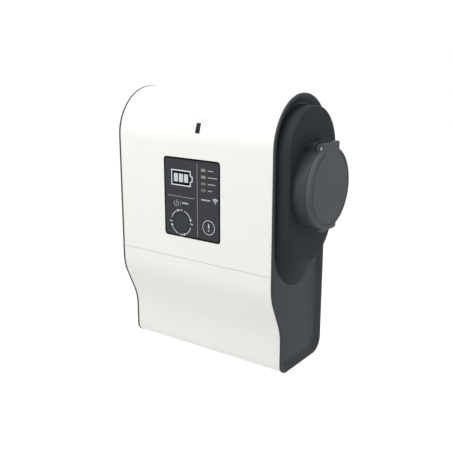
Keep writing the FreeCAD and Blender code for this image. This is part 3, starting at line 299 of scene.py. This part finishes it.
# ---- the finish of each slot in the record -------------------------------------------------------
MOULDED = {  # colour, roughness, and what else differs from plain moulded plastic
    "white_cover": (
        (0.600, 0.594, 0.566), 0.36,
        {"grain": 1900, "depth": 0.012, "edge_wear_and_shade": 1.03, "cloud": 0.006},
    ),
    "anthracite_shell": (
        (0.031, 0.037, 0.042), 0.50,
        {"grain": 2300, "depth": 0.10, "edge_wear_and_shade": 1.6, "specular": 0.15},
    ),
    # Darker than the shell: a darker moulding, made darker still as painted shade for the shadow
    # across its lower ramp.
    "anthracite_plinth": (
        (0.017, 0.023, 0.027), 0.66,
        {"grain": 2300, "depth": 0.10, "edge_wear_and_shade": 1.3, "specular": 0.10},
    ),
    "anthracite_lid": (
        (0.056, 0.062, 0.066), 0.58,
        {"grain": 2300, "depth": 0.10, "edge_wear_and_shade": 1.4, "wear_and_shade_radius": 0.8 * MM, "specular": 0.15},
    ),
    # The panel's edges go down to 0.35 of its colour: painted shade along them.
    "panel_plastic": (
        (0.026, 0.027, 0.031), 0.36,
        {"grain": 3000, "depth": 0.03, "edge_wear_and_shade": 0.35, "wear_and_shade_radius": 0.9 * MM, "specular": 0.15},
    ),
    "button_plastic": (
        (0.022, 0.029, 0.033), 0.42,
        {"grain": 2600, "depth": 0.06, "edge_wear_and_shade": 1.4, "specular": 0.15},
    ),
    "window_plastic": (
        (0.006, 0.010, 0.016), 0.20,
        {"grain": 3200, "depth": 0.01, "edge_wear_and_shade": 1.3, "specular": 0.15},
    ),
}
DRAWN = (0.28, (1, 12, 12))  # roughness, and the noise's stretch: lines along X
TURNED = (0.24, (14, 1, 1))  # lines around X
METALS = {
    "steel": DRAWN, "zinc_steel": DRAWN, "shield_can": DRAWN,
    "brass": TURNED, "silvered_brass": TURNED, "copper": TURNED,
    "capacitor_can": (0.32, (12, 1, 12)),  # lines along Y
}
PLAIN_ROUGHNESS = {"relay_plastic": 0.3}  # any other moulded plastic has 0.5


def finish_for(slot, colour):
    """The material of one of the record's slots. colour is the record's own."""
    name = "finish_" + slot
    if slot in MOULDED:
        own_colour, roughness, rest = MOULDED[slot]
        return moulded(name, own_colour, roughness, **rest)
    if slot in METALS:
        return metal(name, colour, *METALS[slot])
    if slot == "lit_lens":
        return translucent(name, (0.40, 0.42, 0.435), 0.4, 0.03)
    if slot == "lamp_lens":
        return lamp_lens(name)
    if slot == "led_package":
        return translucent(name, (0.78, 0.76, 0.58), 0.35, 0.0)
    if slot == "black_rubber":
        return rubber(name, (0.02, 0.02, 0.021))
    if slot == "circuit_board":
        return circuit_board(name, (0.016, 0.10, 0.042))
    return moulded(name, colour, PLAIN_ROUGHNESS.get(slot, 0.5), grain=2000, depth=0.08)


def dress_cad_nodes():
    """Gives every CAD node the finish of its slot in the record."""
    record = frame["record"]
    colours = {m["slot"]: tuple(m["base_color"][:3]) for m in record["materials"]}
    slots = {s["node"]: s["material_slot"] for s in record["subparts"]}
    made = {}
    for node, piece in NODES.items():
        slot = slots[node]
        if slot not in made:
            made[slot] = finish_for(slot, colours.get(slot))
        piece.data.materials.clear()
        piece.data.materials.append(made[slot])


# ---- mesh helpers --------------------------------------------------------------------------------
def add_object(name, mesh, material):
    """Turns the bmesh into an object of the scene."""
    data = bpy.data.meshes.new(name)
    mesh.to_mesh(data)
    mesh.free()
    data.materials.append(material)
    piece = bpy.data.objects.new(name, data)
    bpy.context.scene.collection.objects.link(piece)
    return piece


def new_piece(name, shapes, place, finish, body):
    """A piece made of closed prisms. Each shape is an outline in (u, v), or an outline and a hole.

    place(u, v, w) gives the point. w is 0 at the prism's near end and 1 at its far end, which in a
    printed mark are the surface and the face of the ink."""
    mesh = bmesh.new()
    for shape in shapes:
        rings = shape if isinstance(shape, tuple) else (shape,)
        layers = [
            [[mesh.verts.new(place(u, v, w)) for u, v in ring] for ring in rings] for w in (0, 1)
        ]
        for near, far in zip(*layers):
            count = len(near)
            for i in range(count):
                j = (i + 1) % count
                mesh.faces.new((near[i], near[j], far[j], far[i]))
        for layer in layers:
            if len(rings) == 1:
                mesh.faces.new(layer[0])
                continue
            outer, inner = layer
            count = len(outer)
            for i in range(count):
                j = (i + 1) % count
                mesh.faces.new((outer[i], outer[j], inner[j], inner[i]))
    bmesh.ops.recalc_face_normals(mesh, faces=mesh.faces)
    piece = add_object(name, mesh, finish)
    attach(piece, body)


def on_panel(u, v, w):
    """A point on the control panel: u across, v up, w through the ink."""
    return Vector((u, PANEL_Y + SUNK - w * (PANEL_PRINT + SUNK), v))


def on_arch(u, v, w):
    """A point on the arch: u across, v along the arch from the status window's top end."""
    angle = ARC_START + v / ARCH_RADIUS
    radius = ARCH_RADIUS - COVER_INSET - SUNK + w * COVER_PRINT
    return ARCH_CENTRE + Vector((u, -radius * math.cos(angle), radius * math.sin(angle)))


def rectangle(x0, x1, z0, z1):
    return [(x0, z0), (x1, z0), (x1, z1), (x0, z1)]


def rounded(x0, x1, z0, z1, corner, steps=8):
    """A rectangle with round corners."""
    points = []
    for cx, cz, first in ((x1, z1, 0), (x0, z1, 90), (x0, z0, 180), (x1, z0, 270)):
        sx = cx - corner if cx == x1 else cx + corner
        sz = cz - corner if cz == z1 else cz + corner
        for i in range(steps + 1):
            a = math.radians(first + 90 * i / steps)
            points.append((sx + corner * math.cos(a), sz + corner * math.sin(a)))
    return points


def circle(x, z, radius, steps):
    turn = [2 * math.pi * i / steps for i in range(steps)]
    return [(x + radius * math.cos(a), z + radius * math.sin(a)) for a in turn]


def arc_band(x, z, radius, width, first, last, steps=24):
    """A stretch of ring, from one angle to another, in degrees."""
    turn = [math.radians(first + (last - first) * i / steps) for i in range(steps + 1)]

    def line(r):
        return [(x + r * math.cos(a), z + r * math.sin(a)) for a in turn]

    return line(radius + width / 2) + line(radius - width / 2)[::-1]


# ---- the panel's printing ------------------------------------------------------------------------
BRIGHT_INK = ink("finish_ink_bright", (0.56, 0.59, 0.61))
LIGHT_INK = ink("finish_ink_light", (0.50, 0.53, 0.55))
DIM_INK = ink("finish_ink_dim", (0.27, 0.285, 0.295))
LINE_INK = ink("finish_ink_line", (0.175, 0.18, 0.187))
# Black for the printed ground of the battery pictogram, and for the frame of painted shade along
# the panel's edge.
BLACK_PRINT_AND_EDGE_SHADE = moulded(
    "finish_black_print_and_edge_shade", (0.003, 0.003, 0.003), 0.5, depth=0.03, edge_wear_and_shade=1.6, specular=0.04
)


def panel_piece(name, shapes, finish):
    new_piece(name, shapes, on_panel, finish, "unit")


def panel_edge():
    """A black frame along the panel's edge: painted shade of the gap round the panel."""
    width = 1.9 * MM
    outer = rounded(PANEL_X0, PANEL_X1, PANEL_Z0, PANEL_Z1, 4 * MM)
    inner = rounded(
        PANEL_X0 + width, PANEL_X1 - width, PANEL_Z0 + width, PANEL_Z1 - width, 2.2 * MM
    )
    new_piece("painted_shade_round_panel", [(outer, inner)], on_panel, BLACK_PRINT_AND_EDGE_SHADE, "unit")


def battery_outline():
    """The charge indicator: a frame around the three lenses, with a nub at its right, and the black
    ground that fills the frame up to the lenses."""
    x0, x1 = BARS_LOW.x - 4.1 * MM, BARS_HIGH.x + 4.0 * MM
    middle, half_height = (BARS_LOW.z + BARS_HIGH.z) / 2, 9.7 * MM
    z0, z1 = middle - half_height, middle + half_height
    nub_length, nub_half, slant = 3.0 * MM, 3.1 * MM, 1.2 * MM
    width, gap = 1.2 * MM, 0.2 * MM

    def frame_outline(inset):
        left, right, low, high = x0 + inset, x1 - inset, z0 + inset, z1 - inset
        tip, reach = x1 + nub_length - inset, nub_half - inset * 0.6
        return [
            (left, low), (right, low), (right, middle - reach - slant), (tip, middle - reach),
            (tip, middle + reach), (right, middle + reach + slant), (right, high), (left, high),
        ]

    left, right, low, high = x0 + width, x1 - width, z0 + width, z1 - width
    lens_left, lens_low = BARS_LOW.x - gap, BARS_LOW.z - gap
    lens_right, lens_high = BARS_HIGH.x + gap, BARS_HIGH.z + gap
    ground = [
        rectangle(left, right, low, lens_low),
        rectangle(left, right, lens_high, high),
        rectangle(left, lens_left, lens_low, lens_high),
        rectangle(lens_right, right, lens_low, lens_high),
    ]
    panel_piece("battery_ground", ground, BLACK_PRINT_AND_EDGE_SHADE)
    panel_piece("battery_pictogram", [(frame_outline(0), frame_outline(width))], BRIGHT_INK)


def dividers():
    """The two thin lines that part the panel's fields."""
    half = 0.4 * MM
    upright = rectangle(
        DIVIDER_X - half, DIVIDER_X + half, PANEL_Z0 + 4 * MM, PANEL_Z1 - 5 * MM
    )
    level = rectangle(
        PANEL_X0 + 5.5 * MM, DIVIDER_X - 4.5 * MM, DIVIDER_Z - half, DIVIDER_Z + half
    )
    panel_piece("panel_dividers", [upright, level], LINE_INK)


def lamp_labels():
    """A plain bar beside each status lamp, in place of its wording."""
    lengths = (6.0, 11.2, 13.8, 7.6)
    lamp_half, bar_half = 1.8 * MM, 0.55 * MM
    pitch = (LAMPS_HIGH.z - LAMPS_LOW.z - 2 * lamp_half) / (len(lengths) - 1)
    start = LAMPS_HIGH.x + 3.4 * MM
    bars = []
    for i, length in enumerate(lengths):
        z = LAMPS_LOW.z + lamp_half + i * pitch
        bars.append(rectangle(start, start + length * MM, z - bar_half, z + bar_half))
    panel_piece("lamp_labels", bars, DIM_INK)


def radio_marks():
    """A plain bar and a fan of arcs over a dot, for the radio link."""
    z, bar_half = DIVIDER_Z + 0.5 * MM, 0.9 * MM
    bar = rectangle(LAMPS_LOW.x, LAMPS_LOW.x + 13.5 * MM, z - bar_half, z + bar_half)
    x, foot = 36 * MM, z - 2.2 * MM
    fan = [arc_band(x, foot, r * MM, 0.75 * MM, 45, 135) for r in (2.2, 3.7, 5.2)]
    dot = circle(x, foot, 0.7 * MM, 16)
    panel_piece("radio_caption", [bar], DIM_INK)
    panel_piece("radio_marks", [dot] + fan, LIGHT_INK)


def warning_ring():
    """The ring around the fault lamp."""
    x, z = (FAULT_LOW.x + FAULT_HIGH.x) / 2, (FAULT_LOW.z + FAULT_HIGH.z) / 2
    ring = (circle(x, z, 9.1 * MM, 72), circle(x, z, 8.5 * MM, 72))
    panel_piece("warning_ring", [ring], LIGHT_INK)


def timer_icon():
    """A ring open at its top with a short stroke in the gap, a thin rule, and a plain bar in place
    of the wording."""
    x, z, radius = BUTTON.x - 7.3 * MM, BUTTON.z + 23.9 * MM, 3.3 * MM
    ring = arc_band(x, z, radius, 0.8 * MM, 140, 410)
    stroke = rectangle(x - 0.1 * MM, x + 0.6 * MM, z - 0.4 * MM, z + radius + 1.1 * MM)
    rule = rectangle(x + 6.1 * MM, x + 6.5 * MM, z - 3.2 * MM, z + 3.2 * MM)
    bar = rectangle(x + 8.8 * MM, x + 19 * MM, z + 0.1 * MM, z + 2.1 * MM)
    panel_piece("timer_caption", [rule, bar], DIM_INK)
    panel_piece("timer_icon", [ring, stroke], DIM_INK)


def timer_arcs():
    """Four arcs around the button, each with a dot at its clockwise end, and spots between them."""
    radius, gap = 15.6 * MM, 18
    dot_radius, spot_half_height, spot_corner = 1.35 * MM, 0.8 * MM, 0.5 * MM
    arcs, dots, spots = [], [], []
    for quarter in range(4):
        first, last = quarter * 90 + gap, quarter * 90 + 90 - gap
        arcs.append(arc_band(BUTTON.x, BUTTON.z, radius, 0.7 * MM, first, last))
        a = math.radians(first)
        x, z = BUTTON.x + radius * math.cos(a), BUTTON.z + radius * math.sin(a)
        dots.append(circle(x, z, dot_radius, 20))
        b = math.radians(quarter * 90)
        x, z = BUTTON.x + 1.04 * radius * math.cos(b), BUTTON.z + radius * math.sin(b)
        half = (2.9 if quarter == 3 else 2.3) * MM  # the spot at the bottom is wider
        low, high = z - spot_half_height, z + spot_half_height
        spots.append(rounded(x - half, x + half, low, high, spot_corner, 3))
    panel_piece("timer_spots", spots, DIM_INK)
    panel_piece("timer_dots", dots, BRIGHT_INK)
    panel_piece("timer_arcs", arcs, LIGHT_INK)


def button_tick():
    """The faint pointer line on the button's cap."""
    cap_depth, thickness = 0.28 * MM, 0.12 * MM
    turn = math.radians(55)
    along = Vector((math.cos(turn), math.sin(turn)))
    side = Vector((-along.y, along.x)) * 0.3 * MM
    near, far = along * 5.5 * MM, along * 10 * MM
    corners = [near - side, far - side, far + side, near + side]
    points = [(BUTTON.x + c.x, BUTTON.z + c.y) for c in corners]

    def on_cap(u, v, w):
        return Vector((u, BUTTON_LOW.y + cap_depth - w * thickness, v))

    new_piece("button_pointer", [points], on_cap, DIM_INK, "button")


# ---- detail on the covers ------------------------------------------------------------------------
FAINT_INK = ink("finish_ink_faint", (0.27, 0.285, 0.305))


def reader_arcs():
    """Faint arcs over the status window that show where a card is held."""
    x = (WINDOW_LOW.x + WINDOW_HIGH.x) / 2 + 2 * MM
    arcs = [arc_band(x, 0, r * MM, 0.65 * MM, -5, 130) for r in (3.0, 6.2, 9.6)]
    new_piece("reader_arcs", arcs, on_arch, FAINT_INK, "unit")


def foot_crease(white):
    """The low ridge across the lower cover, near its foot."""
    half, height, root = 0.9 * MM, 0.16 * MM, 0.3 * MM
    profile = [(-half, 0), (-half * 0.4, height), (half * 0.4, height), (half, 0), (0, -root)]
    ends = FOOT_LOW.x + 1 * MM, FOOT_HIGH.x - 1 * MM
    y, z = FOOT_FRONT + COVER_INSET, FOOT_LOW.z + 25.5 * MM

    def across(up, out, w):
        return Vector((ends[w], y - out, z + up))

    new_piece("foot_crease", [profile], across, white, "unit")


# ---- studio --------------------------------------------------------------------------------------
def floor():
    """A pale floor well below the unit."""
    mesh = bmesh.new()
    half, z = FLOOR_HALF, CAD_BOX[0][2] - FLOOR_DROP
    corners = [mesh.verts.new((x, y, z)) for x, y in rectangle(-half, half, -half, half)]
    mesh.faces.new(corners)
    f = Finish("finish_floor")
    f.feed("Base Color", f.blend(f.noise(3, 2), (0.93, 0.93, 0.93), (0.96, 0.96, 0.96)))
    f.set(Roughness=0.9, Emission_Color=(1.0, 1.0, 1.0), Emission_Strength=FLOOR_GLOW)
    add_object("floor", mesh, f.material)


def lamp(name, place, size, power):
    """A round area light that shines at the origin."""
    data = bpy.data.lights.new(name, "AREA")
    data.shape = "DISK"
    data.size = size
    data.energy = power
    light = bpy.data.objects.new(name, data)
    light.location = place
    light.rotation_euler = Vector(place).to_track_quat("Z", "Y").to_euler()
    bpy.context.scene.collection.objects.link(light)


def studio():
    """A white sky, the lamps, and colours shown without a film curve."""
    scene = bpy.context.scene
    world = bpy.data.worlds.new("studio")
    world.use_nodes = True
    sky = world.node_tree.nodes["Background"]
    sky.inputs["Color"].default_value = (1, 1, 1, 1)
    sky.inputs["Strength"].default_value = SKY_STRENGTH
    scene.world = world
    for settings in LAMPS:
        lamp(*settings)
    scene.view_settings.view_transform = "Standard"
    scene.view_settings.look = "None"


def camera():
    """The camera: from the front, to the right and a little above."""
    data = bpy.data.cameras.new("camera")
    data.sensor_width = SENSOR_WIDTH
    data.lens = LENS
    piece = bpy.data.objects.new("camera", data)
    piece.location = CAMERA_PLACE
    piece.rotation_euler = Vector(CAMERA_BACKWARDS).to_track_quat("Z", "Y").to_euler()
    bpy.context.scene.collection.objects.link(piece)
    bpy.context.scene.camera = piece


camera()
studio()
floor()
dress_cad_nodes()
panel_edge()
battery_outline()
dividers()
lamp_labels()
radio_marks()
warning_ring()
timer_icon()
timer_arcs()
button_tick()
reader_arcs()
foot_crease(NODES["lower_cover"].data.materials[0])
